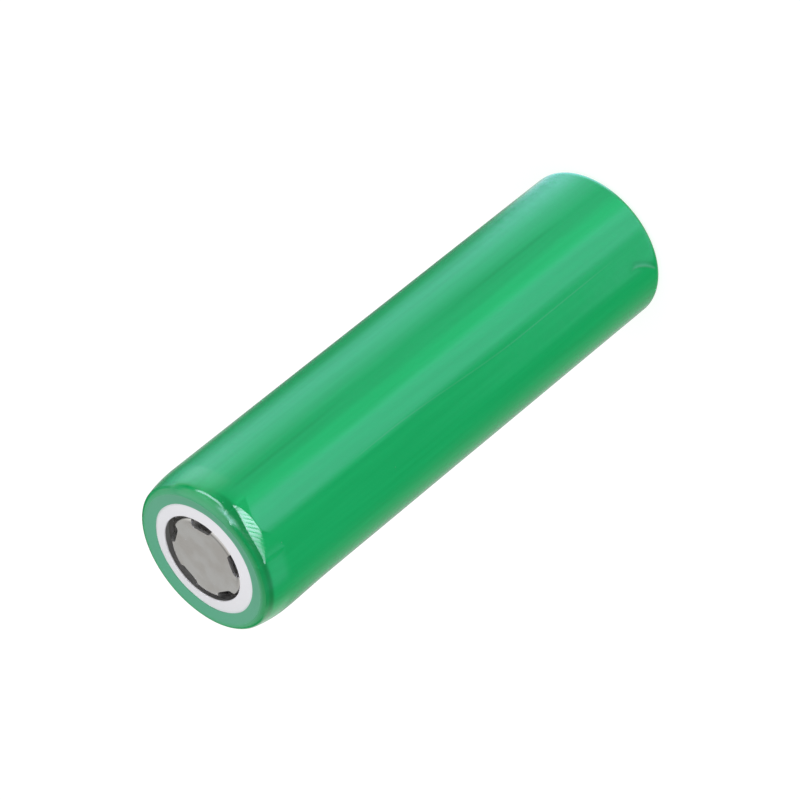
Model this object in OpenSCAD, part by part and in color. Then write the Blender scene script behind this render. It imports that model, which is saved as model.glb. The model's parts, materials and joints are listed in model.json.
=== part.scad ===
// Cylindrical lithium-ion cell, flat top, in a shrink sleeve.
// It stands on its negative end: the origin is the centre of the resting face and the axis is +Z.
// All sizes are in millimetres.

/* [Cell] */
// Outside diameter over the shrink sleeve
cell_d = 18.33; // [18.3:0.01:18.4]
// Overall height, from the resting face to the sleeve's crest round the positive end
cell_h = 64.85; // [64.6:0.05:65.1]

/* [Sleeve] */
// Thickness of the shrink film
sleeve_t = 0.1; // [0.09:0.01:0.11]
// Radius at which the film ends on the positive end
sleeve_top_r = 6.7; // [6.6:0.05:7]
// Radius at which the film ends on the negative end
sleeve_base_r = 7.2; // [7.1:0.1:7.6]
// Radius of the film's crest round the positive end
crest_r = 8.05; // [8.03:0.01:8.05]
// Lean of the film where it bridges the bead up to the crimped head, in degrees
sleeve_lean = 12.5; // [12:0.1:12.5]
// Fall of the film and of the crimped lip under it towards the middle, in degrees
lip_fall = 10.5; // [9:0.5:11]

/* [Washer] */
// Diameter of the hole in the insulating washer
washer_hole_d = 10.56; // [10.5:0.01:10.7]
// Outer radius of the insulating washer
washer_r = 7.65; // [7.5:0.05:7.7]
// Thickness of the insulating washer
washer_t = 0.2; // [0.18:0.01:0.22]
// Rise of the washer from the film's edge to its hole, in degrees
washer_rise = 12.8; // [11:0.1:14]

/* [Can] */
// Thickness of the drawn steel can
can_t = 0.25; // [0.2:0.01:0.28]
// Outer bend radius round the can's floor
can_corner_r = 0.92; // [0.8:0.01:1]
// Outside radius of the crimped head
head_r = 8.69; // [8.67:0.01:8.7]
// Radius at the bottom of the rolled bead
bead_r = 7.65; // [7.5:0.05:7.8]
// Height of the bead's groove
bead_w = 1.12; // [1.1:0.01:1.2]
// Radius of the lip's free edge after crimping
crimp_edge_r = 6.35; // [6.3:0.05:6.5]

/* [Terminal cap] */
// Diameter of the positive terminal, out to the corner that its rim is bent round
button_d = 9.8; // [9.4:0.1:10]
// Depth of the terminal below the washer's inner edge
button_recess = 0.24; // [0.2:0.01:0.28]
// Thickness of the cap's sheet
cap_t = 0.35; // [0.3:0.01:0.4]
// Height of the terminal above the cap's flange
button_rise = 1.05; // [0.95:0.01:1.15]
// Number of gas windows round the terminal
window_count = 5; // [3:1:6]
// Width of a gas window at its root
window_w = 2.2; // [1.6:0.1:2.4]
// Flare of a gas window's sides towards the rim, in degrees
window_flare = 30; // [20:1:32]
// Radius that the gas windows cut in to
window_root_r = 3.93; // [3.8:0.01:4.05]
// Turn of the first gas window, in degrees
window_turn = 20.5; // [0:0.5:71.5]

/* [Header] */
// Outer radius of the stack of discs that the gasket holds
stack_r = 7.75; // [7.6:0.05:7.8]
// Thickness of the resettable current-limiting ring
ptc_t = 0.3; // [0.25:0.01:0.35]
// Thickness of the vent disc
vent_t = 0.3; // [0.25:0.01:0.35]
// Drop of the vent disc's dimple to its weld
vent_drop = 0.7; // [0.6:0.05:0.75]
// Thickness of the perforated contact disc
contact_t = 0.45; // [0.4:0.01:0.5]
// Radius of the contact disc
contact_r = 5.6; // [5.4:0.1:5.6]
// Radius of the slug that tears out of the contact disc when the vent disc snaps up
slug_r = 1.25; // [1:0.05:1.4]

/* [Winding] */
// Turns of the electrode winding
turns = 17; // [12:1:20]
// Radius of the winding's hollow core
core_r = 1.8; // [1.7:0.1:2]
// Outer radius of the winding
winding_r = 8.55; // [8.4:0.01:8.55]
// Thickness of each separator film
separator_t = 0.02; // [0.015:0.001:0.025]
// Height of the separators, which are the tallest layers
separator_h = 57.2; // [56:0.1:57.2]
// How far each electrode stays inside the next taller layer, at either end
overhang = 0.6; // [0.4:0.1:0.8]
// Thickness of the end insulators
insulator_t = 0.3; // [0.2:0.05:0.3]
// Width of the tabs
tab_w = 4; // [3:0.5:4]
// Thickness of the tabs
tab_t = 0.1; // [0.08:0.01:0.12]

/* [Hidden] */
$fn = 96;
film_gap = 0.01;     // air left between pieces that are shrunk or pressed together
seat_gap = 0.02;     // air left round the discs in the gasket
layer_gap = 0.004;   // air left between the winding's layers
steps = 24;          // straight stretches in a turn of the winding
bend_steps = 6;      // straight stretches in a bend of sheet

// The outside of the can sits inside the sleeve
can_r = cell_d/2 - sleeve_t - film_gap;
can_z = sleeve_t + film_gap;
floor_z = can_z + can_t;
bore_r = can_r - can_t;

// The film rounds its crest, then falls towards the middle along the washer and the crimped lip
shoulder_bend = 0.75;
crest_z = cell_h - shoulder_bend;
fall_r = crest_r - shoulder_bend*sin(lip_fall);
fall_z = crest_z + shoulder_bend*cos(lip_fall);
function sleeve_top(r) = fall_z - (fall_r - r)*tan(lip_fall);
function washer_seat(r) = sleeve_top(r) - sleeve_t/cos(lip_fall) - film_gap;
function crimp_top(r) = washer_seat(r) - washer_t/cos(lip_fall) - film_gap;

// Inside the film's edge the washer rises again to its hole
washer_hole_r = washer_hole_d/2;
valley_inset = 0.07;
valley_r = sleeve_top_r - valley_inset;
function washer_top(r) = washer_seat(valley_r) + (valley_r - r)*tan(washer_rise);
function washer_under(r) = washer_top(r) - washer_t/cos(washer_rise) - film_gap;

// Heights in the header, from the terminal down
button_z = washer_top(washer_hole_r) - button_recess;
cap_flange_z = button_z - button_rise;
ptc_top = cap_flange_z - cap_t;
vent_top = ptc_top - ptc_t;
vent_base = vent_top - vent_t;
contact_top = vent_base - vent_drop;
contact_base = contact_top - contact_t;
gasket_floor_t = 0.5;
gasket_base = vent_base - gasket_floor_t;
bead_z = gasket_base - can_t - bead_w/2;
gasket_r = head_r - can_t - seat_gap;
gasket_hole_r = 6.3;
gasket_lip_r = 5.9;
crimp_bend_r = 0.64;

// Heights in the winding, from the floor up
lower_insulator_z = floor_z + tab_t;
winding_z = lower_insulator_z + insulator_t;
upper_insulator_z = winding_z + separator_h;
anode_h = separator_h - 2*overhang;
cathode_h = anode_h - 2*overhang;
anode_z = winding_z + overhang;
cathode_z = anode_z + overhang;

// Radial places in the winding: anode, separator, cathode, separator in every turn
pitch = (winding_r - core_r)/(turns + 1);
electrode_t = (pitch - 2*separator_t - 4*layer_gap)/2;
inner_separator_at = electrode_t + layer_gap;
cathode_at = inner_separator_at + separator_t + layer_gap;
outer_separator_at = cathode_at + electrode_t + layer_gap;
tab_inset = (electrode_t - tab_t)/2;

// Turns that each electrode stays back from the separators' start and end
anode_back = [0.25, 0.25];
cathode_back = [0.5, 0.75];

// The positive tab leaves the cathode part of the way out, the negative one near the anode's end
positive_tab_share = 0.4;
negative_tab_back = 0.5;
positive_tab_turn = round(turns*positive_tab_share);
negative_tab_turn = turns - negative_tab_back;
positive_tab_r = core_r + pitch*positive_tab_turn + cathode_at + tab_inset + tab_t;
negative_tab_r = core_r + pitch*negative_tab_turn + tab_inset + tab_t;

// Sheet bent along a line of corners, each with its own outer or inner bend radius

function unit(v) = v/norm(v);
function left_of(v) = [-v.y, v.x];

// Points of the bend at corner i of the line p, with radius r
function bend(p, i, r) =
    let (back = unit(p[i - 1] - p[i]), on = unit(p[i + 1] - p[i]),
         half = acos(back*on)/2, sweep = 180 - 2*half,
         centre = p[i] + unit(back + on)*r/sin(half),
         from = p[i] + back*r/tan(half) - centre,
         to = p[i] + on*r/tan(half) - centre)
    [for (k = [0 : bend_steps])
        let (s = k/bend_steps)
        centre + (sin((1 - s)*sweep)*from + sin(s*sweep)*to)/sin(sweep)];

// The line p with its corners bent to the radii given, where 0 leaves a corner sharp
function bent(p, radii) =
    [for (i = [0 : len(p) - 1]) each radii[i] == 0 ? [p[i]] : bend(p, i, radii[i])];

// Mitred offset of point i of the line p, to its left
function mitre(p, i) =
    let (last = len(p) - 1,
         a = left_of(unit(i > 0 ? p[i] - p[i - 1] : p[1] - p[0])),
         b = left_of(unit(i < last ? p[i + 1] - p[i] : p[last] - p[last - 1])),
         m = unit(a + b))
    m/(m*a);

// Outline of a sheet that lies to the left of the line p, or to its right if t is negative
function sheet(p, t) =
    concat(p, [for (i = [len(p) - 1 : -1 : 0]) p[i] + t*mitre(p, i)]);

module turned(outline) rotate_extrude() polygon(outline);

// Flat ring about the axis
module ring(inner_r, outer_r, z, h)
    translate([0, 0, z]) difference() {
        cylinder(r = outer_r, h = h);
        translate([0, 0, -1]) cylinder(r = inner_r, h = h + 2);
    }

// Outer covers

// Shrink film, folded over both ends of the can
module sleeve() color("mediumseagreen") {
    outer_r = cell_d/2;
    base_bend = can_corner_r + film_gap + sleeve_t;
    bridge_bend = 16;
    // The film leans in over the bead and meets the arc of its crest
    lean_end = [crest_r + shoulder_bend*cos(sleeve_lean), crest_z + shoulder_bend*sin(sleeve_lean)];
    lean_z = lean_end.y - (outer_r - lean_end.x)/tan(sleeve_lean);
    run = (sleeve_top(outer_r) - lean_z)/(cos(sleeve_lean) + tan(lip_fall)*sin(sleeve_lean));
    shoulder = [outer_r - run*sin(sleeve_lean), lean_z + run*cos(sleeve_lean)];
    corners = [[sleeve_base_r, 0], [outer_r, 0], [outer_r, lean_z], shoulder,
               [sleeve_top_r, sleeve_top(sleeve_top_r)]];
    turned(sheet(bent(corners, [0, base_bend, bridge_bend, shoulder_bend, 0]), sleeve_t));
}

// White insulating washer, held down by the film's edge and lifted at its hole by the gasket
module washer() color("white") {
    valley_bend = 0.3;
    corners = [[washer_r, washer_seat(washer_r)], [valley_r, washer_seat(valley_r)],
               [washer_hole_r, washer_top(washer_hole_r)]];
    turned(sheet(bent(corners, [0, valley_bend, 0]), washer_t));
}

// Nickel-plated steel can: floor, wall, rolled bead and crimped lip in one drawn sheet
module can() color("silver") {
    bead_bend = bead_w/2 - film_gap;
    wall_bend = 0.5;
    head_bend = 0.3;
    ring_mark_r = 6.75;
    ring_mark_w = 0.25;
    ring_mark_depth = 0.05;
    low = bead_z - bead_w/2;
    high = bead_z + bead_w/2;
    corners = [[0, can_z], [can_r, can_z], [can_r, low], [bead_r, low], [bead_r, high],
               [head_r, high], [head_r, crimp_top(head_r)], [crimp_edge_r, crimp_top(crimp_edge_r)]];
    bends = [0, can_corner_r, wall_bend, bead_bend, bead_bend, head_bend, crimp_bend_r, 0];
    difference() {
        turned(sheet(bent(corners, bends), can_t));
        // Drawing mark that rings the negative contact face
        ring(ring_mark_r - ring_mark_w, ring_mark_r, can_z - 1, 1 + ring_mark_depth);
    }
}

// Header, crimped into the top of the can

// Sealing gasket that wraps the rim of the stack of discs, with a lip that stands up inside the crimp
module gasket() color("dimgray") {
    base_bend = 0.1;
    fit_r = stack_r + seat_gap;
    edge_r = crimp_edge_r - seat_gap;
    lip_drop = can_t/cos(lip_fall) + seat_gap;
    corners = [[gasket_hole_r, gasket_base], [gasket_r, gasket_base],
               [gasket_r, crimp_top(gasket_r) - lip_drop], [edge_r, crimp_top(edge_r) - lip_drop]];
    outside = bent(corners, [0, base_bend, crimp_bend_r - can_t, 0]);
    inside = [[edge_r, washer_under(edge_r)], [gasket_lip_r, washer_under(gasket_lip_r)],
              [gasket_lip_r, cap_flange_z], [fit_r, cap_flange_z],
              [fit_r, vent_base], [gasket_hole_r, vent_base]];
    turned(concat(outside, inside));
}

// Positive terminal cap: flat button, legs between the gas windows, flange
module terminal_cap() color("lightgray") {
    button_r = button_d/2;
    leg_run = 0.35;
    button_bend = 0.9;
    flange_bend = 0.3;
    window_depth = 1.6;
    window_bend = 0.5;
    root = window_w/2;
    mouth = root + window_depth*tan(window_flare);
    corners = [[0, button_z], [button_r, button_z], [button_r + leg_run, cap_flange_z],
               [stack_r, cap_flange_z]];
    window = [[window_depth, -mouth], [0, -root], [0, root], [window_depth, mouth]];
    difference() {
        turned(sheet(bent(corners, [0, button_bend, flange_bend, 0]), -cap_t));
        for (i = [0 : window_count - 1])
            rotate(window_turn + i*360/window_count)
                translate([window_root_r, 0, cap_flange_z + film_gap])
                    linear_extrude(button_rise + 1) polygon(bent(window, [0, window_bend, window_bend, 0]));
    }
}

// Current-limiting ring under the cap's flange
module ptc_ring() color("gray") {
    hole_r = 5.2;
    ring(hole_r, stack_r, vent_top, ptc_t);
}

// Scored vent disc, dished down to its weld on the slug
module vent_disc() color("gainsboro") {
    weld_r = 1.3;
    dish_r = 2.8;
    dish_bend = 0.6;
    score_r = 4.3;
    score_w = 0.25;
    dish_z = vent_top - vent_drop;
    corners = [[0, dish_z], [weld_r, dish_z], [dish_r, vent_top], [stack_r, vent_top]];
    difference() {
        turned(sheet(bent(corners, [0, dish_bend, dish_bend, 0]), -vent_t));
        ring(score_r, score_r + score_w, vent_top - vent_t/2, vent_t);
    }
}

// Insulating spacer that carries the contact disc under the vent disc
module cid_spacer() color("wheat") {
    spacer_r = 6.2;
    hole_r = 4.6;
    lip_r = 5.2;
    lip_t = 0.3;
    fit_r = contact_r + seat_gap;
    turned([[hole_r, contact_top], [hole_r, vent_base], [spacer_r, vent_base],
            [spacer_r, contact_base - lip_t], [lip_r, contact_base - lip_t],
            [lip_r, contact_base], [fit_r, contact_base], [fit_r, contact_top]]);
}

// Perforated contact disc that the positive tab is welded to
module contact_disc() color("silver") {
    hole_count = 6;
    hole_r = 0.6;
    hole_at_r = 3.4;
    tear_gap = 0.05;
    difference() {
        ring(slug_r + tear_gap, contact_r, contact_base, contact_t);
        for (i = [0 : hole_count - 1])
            rotate((i + 0.5)*360/hole_count)
                translate([hole_at_r, 0, contact_base - 1]) cylinder(r = hole_r, h = contact_t + 2);
    }
}

// Welded slug: it tears out of the contact disc and rises with the vent disc
module contact_slug() color("lightgray") {
    slug_t = 0.3;
    translate([0, 0, contact_top - slug_t]) cylinder(r = slug_r, h = slug_t);
}

// Winding and its tabs

// Point of the winding after so many turns, set outwards from the innermost layer's face
function wound(turn, outwards) =
    (core_r + pitch*turn + outwards)*[cos(360*turn), sin(360*turn)];

// Outline of a layer of thickness t between two turns
function layer(outwards, t, from_turn, to_turn) =
    let (n = round((to_turn - from_turn)*steps))
    concat([for (i = [0 : n]) wound(from_turn + i/steps, outwards)],
           [for (i = [n : -1 : 0]) wound(from_turn + i/steps, outwards + t)]);

module wound_layer(outwards, t, from_turn, to_turn, z, h)
    translate([0, 0, z]) linear_extrude(h) polygon(layer(outwards, t, from_turn, to_turn));

// Foot of a tab, curved with the winding: so many stretches either side of its turn
module tab_foot(outwards, turn, reach, z, h)
    wound_layer(outwards + tab_inset, tab_t, turn - reach/steps, turn + reach/steps, z, h);

// Copper foil coated with graphite on both faces
module anode_sheet() color("dimgray")
    wound_layer(0, electrode_t, anode_back[0], turns - anode_back[1], anode_z, anode_h);

// Aluminium foil coated with lithium metal oxide on both faces
module cathode_sheet() color("darkslategray")
    wound_layer(cathode_at, electrode_t, cathode_back[0], turns - cathode_back[1], cathode_z, cathode_h);

module inner_separator() color("whitesmoke")
    wound_layer(inner_separator_at, separator_t, 0, turns, winding_z, separator_h);

module outer_separator() color("whitesmoke")
    wound_layer(outer_separator_at, separator_t, 0, turns, winding_z, separator_h);

// Tape that holds the winding closed
module winding_tape() color("goldenrod") {
    tape_t = 0.05;
    tape_h = 36;
    ring(winding_r + seat_gap, winding_r + seat_gap + tape_t,
         winding_z + (separator_h - tape_h)/2, tape_h);
}

// Slit steel tube that keeps the winding's core open
module centre_pin() color("lightslategray") {
    pin_r = 1.5;
    pin_wall = 0.25;
    pin_h = separator_h - 1;
    slit_w = 0.4;
    difference() {
        ring(pin_r - pin_wall, pin_r, winding_z, pin_h);
        translate([0, -slit_w/2, winding_z - 1]) cube([pin_r + 1, slit_w, pin_h + 2]);
    }
}

// Aluminium tab: up from the cathode's edge, over the insulator, folded back to the contact disc
positive_tab_tape_t = 0.05;
positive_tab_z = upper_insulator_z + insulator_t + positive_tab_tape_t + 2*film_gap;

module positive_tab() color("lightgray") {
    foot_reach = 2;
    fold_x = -2.5;
    weld_x = 3;
    foot_z = cathode_z + cathode_h;
    fold_r = (contact_base - positive_tab_z)/2;
    corners = [[positive_tab_r, positive_tab_z], [fold_x - fold_r, positive_tab_z],
               [fold_x - fold_r, contact_base], [weld_x, contact_base]];
    tab_foot(cathode_at, positive_tab_turn, foot_reach, foot_z, positive_tab_z + tab_t - foot_z);
    rotate([90, 0, 0]) linear_extrude(tab_w, center = true)
        polygon(sheet(bent(corners, [0, fold_r - film_gap, fold_r - film_gap, 0]), -tab_t));
}

// Insulating tape wrapped round the positive tab
module positive_tab_tape() color("goldenrod") {
    wrap_l = 3;
    wrap_x = 0;
    inner = [wrap_l + 2, tab_w + 2*film_gap, tab_t + 2*film_gap];
    outer = [wrap_l, inner.y + 2*positive_tab_tape_t, inner.z + 2*positive_tab_tape_t];
    translate([wrap_x, 0, positive_tab_z + tab_t/2]) difference() {
        cube(outer, center = true);
        cube(inner, center = true);
    }
}

// Nickel tab: down from the anode's edge, then flat across the can's floor
module negative_tab() color("darkgray") {
    foot_reach = 1;
    end_x = 3;
    tab_foot(0, negative_tab_turn, foot_reach, floor_z, anode_z - floor_z);
    translate([-negative_tab_r*cos(180/steps), -tab_w/2, floor_z])
        cube([negative_tab_r*cos(180/steps) + end_x, tab_w, tab_t]);
}

// Insulating disc with a centre hole and a gap for its tab
module insulator(r, z, gap_x, gap_size) {
    hole_r = 1.2;
    difference() {
        ring(hole_r, r, z, insulator_t);
        translate([gap_x, 0, z + insulator_t/2]) cube([gap_size.x, gap_size.y, insulator_t + 2], center = true);
    }
}

module upper_insulator() color("burlywood") {
    insulator_r = 8.6;
    gas_hole_r = 0.8;
    gas_hole_at_r = 5.8;
    gap_x = positive_tab_r - 0.3;
    gap_size = [1.6, tab_w + 1.6];
    difference() {
        insulator(insulator_r, upper_insulator_z, gap_x, gap_size);
        for (turn = [90, 180, 270])
            rotate(turn) translate([gas_hole_at_r, 0, upper_insulator_z - 1])
                cylinder(r = gas_hole_r, h = insulator_t + 2);
    }
}

module lower_insulator() color("burlywood") {
    insulator_r = 8.4;
    gap_size = [1.4, tab_w + 1];
    insulator(insulator_r, lower_insulator_z, -negative_tab_r, gap_size);
}

sleeve();
washer();
can();
gasket();
terminal_cap();
ptc_ring();
vent_disc();
cid_spacer();
contact_disc();
contact_slug();
positive_tab();
positive_tab_tape();
upper_insulator();
cathode_sheet();
anode_sheet();
inner_separator();
outer_separator();
winding_tape();
centre_pin();
negative_tab();
lower_insulator();
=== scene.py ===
# %% [markdown]
# # A green cylindrical cell, dressed around its solids
#
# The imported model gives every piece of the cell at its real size: a drawn steel can, a crimped header with
# its safety discs, a wound roll of foils, a white paper washer and a shrink sleeve over all of it. Those
# solids are the fixed frame. This lesson adds what solids leave out: the way film wrinkles as it shrinks, the
# soft edge of stamped metal, and the finish of every surface. Each step says what the piece is on the real
# cell, how it could be made, and why it is made this way here.

# %% Load the frame
import json
import math

import bpy
import bmesh
import numpy as np
from mathutils import Matrix, Vector


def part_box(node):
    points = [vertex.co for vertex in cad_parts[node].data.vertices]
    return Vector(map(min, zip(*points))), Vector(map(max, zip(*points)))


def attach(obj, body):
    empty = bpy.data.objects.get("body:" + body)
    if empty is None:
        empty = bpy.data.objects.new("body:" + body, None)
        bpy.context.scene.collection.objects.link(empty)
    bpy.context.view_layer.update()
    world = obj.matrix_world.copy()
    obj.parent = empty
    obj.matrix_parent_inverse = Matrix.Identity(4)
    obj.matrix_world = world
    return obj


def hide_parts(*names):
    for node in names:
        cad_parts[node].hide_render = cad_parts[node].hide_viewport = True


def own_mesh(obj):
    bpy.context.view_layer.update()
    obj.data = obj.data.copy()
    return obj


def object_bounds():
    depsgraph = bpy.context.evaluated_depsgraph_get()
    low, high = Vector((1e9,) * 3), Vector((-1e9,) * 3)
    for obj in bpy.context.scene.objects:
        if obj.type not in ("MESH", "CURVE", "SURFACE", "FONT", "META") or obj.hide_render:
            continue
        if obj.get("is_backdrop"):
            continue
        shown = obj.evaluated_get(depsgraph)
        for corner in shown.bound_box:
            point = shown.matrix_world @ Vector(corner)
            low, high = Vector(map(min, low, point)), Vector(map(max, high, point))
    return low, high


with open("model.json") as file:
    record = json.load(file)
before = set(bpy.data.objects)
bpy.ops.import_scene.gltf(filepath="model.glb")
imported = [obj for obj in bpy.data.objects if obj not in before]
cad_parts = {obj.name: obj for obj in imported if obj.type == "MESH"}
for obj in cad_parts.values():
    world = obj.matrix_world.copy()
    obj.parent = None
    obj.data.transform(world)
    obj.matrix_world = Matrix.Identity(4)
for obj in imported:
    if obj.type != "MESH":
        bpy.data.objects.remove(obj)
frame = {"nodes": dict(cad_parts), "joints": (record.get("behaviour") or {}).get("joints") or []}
cad_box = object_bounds()
MM = 0.001
print("loaded", len(frame["nodes"]), "nodes,", f"{cad_box[1].z / MM:.2f} mm tall")

# %% [markdown]
# ## The camera
#
# The picture looks at the cell from far away with a long lens, from 33 degrees above the frame's -Y axis, and
# the camera is rolled so that the cell lies across the picture. A camera could be placed by eye, but a
# perspective view is settled by six numbers, so they are written down as what they are: the height of the
# view, the roll, how far away the camera is, how far off centre the cell sits both ways, and the length of
# the lens.

# %% Camera
VIEW_HEIGHT = math.radians(33.453)
VIEW_ROLL = math.radians(128.964)
CAMERA_DISTANCE = 463.43 * MM
CELL_OFF_RIGHT = 0.700 * MM
CELL_OFF_DOWN = -0.552 * MM
AIM = Vector((0, 0, 32.5 * MM))
SENSOR = 36.0
LENS = 195.687

ahead = Vector((0, math.cos(VIEW_HEIGHT), -math.sin(VIEW_HEIGHT)))
level_right = Vector((1, 0, 0))
level_down = ahead.cross(level_right)
right = math.cos(VIEW_ROLL) * level_right + math.sin(VIEW_ROLL) * level_down
down = -math.sin(VIEW_ROLL) * level_right + math.cos(VIEW_ROLL) * level_down

camera_data = bpy.data.cameras.new("camera")
camera_data.sensor_width = SENSOR
camera_data.lens = LENS
camera = bpy.data.objects.new("camera", camera_data)
bpy.context.scene.collection.objects.link(camera)
place = AIM - CELL_OFF_RIGHT * right - CELL_OFF_DOWN * down - CAMERA_DISTANCE * ahead
turn = Matrix((right, -down, -ahead)).transposed()
camera.matrix_world = Matrix.Translation(place) @ turn.to_4x4()
bpy.context.scene.camera = camera
bpy.context.scene.view_settings.view_transform = "Standard"
print("camera", f"{place.length:.3f} m from the origin, lens {LENS:.0f} mm")

# %% [markdown]
# ## Writing shaders as sums
#
# A material is a graph of nodes, and most of its nodes only add and multiply. Linking them one by one hides
# what they work out. Here one small class wraps a node's output, so that `1 - mask * 0.3` in Python adds the
# Math nodes that do just that, and one method adds any other kind of node from its type, its settings and its
# inputs.

# %% Wires and sheets
class Wire:
    """One output of a node. Arithmetic on it adds Math nodes."""

    def __init__(self, sheet, socket):
        self.sheet = sheet
        self.socket = socket

    def maths(self, operation, *values):
        return self.sheet.add("ShaderNodeMath", {"operation": operation}, dict(enumerate(values)))

    def __add__(self, other):
        return self.maths("ADD", self, other)

    def __sub__(self, other):
        return self.maths("SUBTRACT", self, other)

    def __rsub__(self, other):
        return self.maths("SUBTRACT", other, self)

    def __mul__(self, other):
        return self.maths("MULTIPLY", self, other)

    __radd__ = __add__
    __rmul__ = __mul__


class NodeSheet:
    """A node tree that is written to by one method."""

    def __init__(self, tree):
        self.tree = tree
        tree.nodes.clear()

    def add(self, kind, settings=None, inputs=None, output=0):
        node = self.tree.nodes.new(kind)
        for name, value in (settings or {}).items():
            setattr(node, name, value)
        for key, value in (inputs or {}).items():
            if isinstance(value, Wire):
                self.tree.links.new(value.socket, node.inputs[key])
            else:
                node.inputs[key].default_value = value
        return Wire(self, node.outputs[output]) if output is not None else None


print("wires and sheets ready")

# %% Shader helpers
def soft_step(sheet, value, start, end):
    """0 before start, 1 after end, eased between."""
    return sheet.add("ShaderNodeMapRange", {"interpolation_type": "SMOOTHSTEP"},
                     {0: value, 1: start, 2: end, 3: 0.0, 4: 1.0})


def soft_span(sheet, value, low, high, ease):
    """1 between low and high, eased to 0 over a stretch centred on either end."""
    rise = soft_step(sheet, value, low - ease / 2, low + ease / 2)
    fall = soft_step(sheet, value, high - ease / 2, high + ease / 2)
    return rise - rise * fall


def split(sheet, vector):
    """The three numbers of a vector."""
    node = sheet.add("ShaderNodeSeparateXYZ", {}, {0: vector}).socket.node
    return [Wire(sheet, socket) for socket in node.outputs]


def turn_from_front(x, y):
    """Degrees of turn about the cell's axis, from the front, -Y, towards +X."""
    return x.maths("ARCTAN2", x, 0 - y) * math.degrees(1)


print("shader helpers ready")

# %% [markdown]
# ## The light tent
#
# Glossy film shows the room around it, so the light is part of the cell's look. The studio is a white tent:
# an even glow from above, a dim floor, and cloth panels that the sleeve mirrors as long pale bands. Area
# lamps could stand for the panels, but an upright wall that is seen from above mirrors what lies below the
# table, where a lamp can't stand. A world shader has no such limit: it gives a brightness to every direction.
# The panels are rectangles with soft edges in two angles, the turn about the cell's axis and the height over
# the horizon.
#
# A panel with a negative brightness takes light away, as a dark cloth would. Such panels dim the back of the
# tent and one end of the long strip lamp, and no direction goes below zero. The two strip lamps draw the
# bright lines on the shoulder. They are kept out of the soft light, so that they add no more than their own
# reflections.

# %% Tent panels
COLOURS = {"white": (1.0, 1.0, 1.0, 1), "cloth": (0.42, 0.72, 1.0, 1), "sheen": (0.0, 1.0, 0.3, 1),
           "strip": (0.74, 0.75, 1.0, 1)}
# name, colour, turn from, turn to, height from, height to, softness across, softness up, brightness
PANELS = [
    ("glow", "white", -400, 400, 14, 120, 1, 8, 0.97),
    ("front glow", "white", -50, 100, 14, 70, 90, 20, 0.20),
    ("back wall, one side", "white", 130, 400, 14, 64, 30, 8, -0.37),
    ("back wall, other side", "white", -400, -130, 14, 64, 30, 8, -0.37),
    ("back top, one side", "white", 120, 400, 44, 78, 30, 12, -0.30),
    ("back top, other side", "white", -400, -120, 44, 78, 30, 12, -0.30),
    ("far cloth", "white", -190, -118, -95, -8, 60, 16, 0.38),
    ("far edge", "white", -190, -150, -95, -8, 20, 16, 0.10),
    ("near rim", "white", 156, 190, -95, -27, 24, 3, 0.20),
    ("near rim low", "white", 146, 190, -95, -36.2, 24, 1, 0.45),
    ("near rim top", "white", 150, 190, -31.8, -20, 24, 1, 0.20),
    ("front cloth", "cloth", -23, 12, -72, -22, 14, 12, 2.5),
    ("front shade", "cloth", 8, 50, -72, -20, 14, 12, 0.75),
    ("front top", "cloth", -24, 24, -31.8, -20, 16, 1, 0.6),
    ("side cloth", "cloth", 62, 114, -72, -16, 44, 14, 2.1),
    ("side rest", "cloth", 112, 164, -72, -16, 24, 14, 0.10),
    ("side top", "cloth", 92, 136, -31.4, -14, 24, 1, 0.7),
    ("low cloth", "cloth", -74, -20, -72, -36.4, 16, 0.8, 1.6),
    ("low front", "cloth", 6, 70, -72, -35.6, 16, 2, 0.5),
    ("far corner", "cloth", 100, 156, -72, -36.6, 40, 0.6, 2.9),
    ("front shoulder", "cloth", -92, -50, -26, -12, 16, 4, 0.9),
    ("far shoulder", "white", -176, -124, -28, -4, 30, 4, 0.42),
    ("sheen", "sheen", 10, 32, -72, -16, 20, 14, 1.7),
    ("floor glow", "white", -400, 400, -95, -66, 1, 12, 0.25),
    ("side shoulder", "white", 58, 116, -30.2, -6, 24, 3, 0.7),
    ("long strip lamp", "strip", -57, 26, -2, 12, 6, 5, 16.5),
    ("long strip lamp, dim end", "strip", -90, -18, -2, 12, 44, 5, -8.0),
    ("short strip lamp", "strip", 40, 75, -2, 12, 12, 5, 12.5),
]
TENT_REST = 0.04


def lit_by(sheet, colour, turn_angle, height_angle):
    """Brightness of all panels of one colour in a direction."""
    total = 0
    for _, own, left, right_end, low, high, across, up, level in PANELS:
        if own == colour:
            span = soft_span(sheet, turn_angle, left, right_end, across)
            total = span * soft_span(sheet, height_angle, low, high, up) * level + total
    return total.maths("MAXIMUM", total, 0)


print(len(PANELS), "panels in", len(COLOURS), "colours")

# %% [markdown]
# The panels of each colour add up to one Background shader, and the shaders are added. Where the camera looks
# past the table it sees plain white, whatever the panels do.

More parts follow.
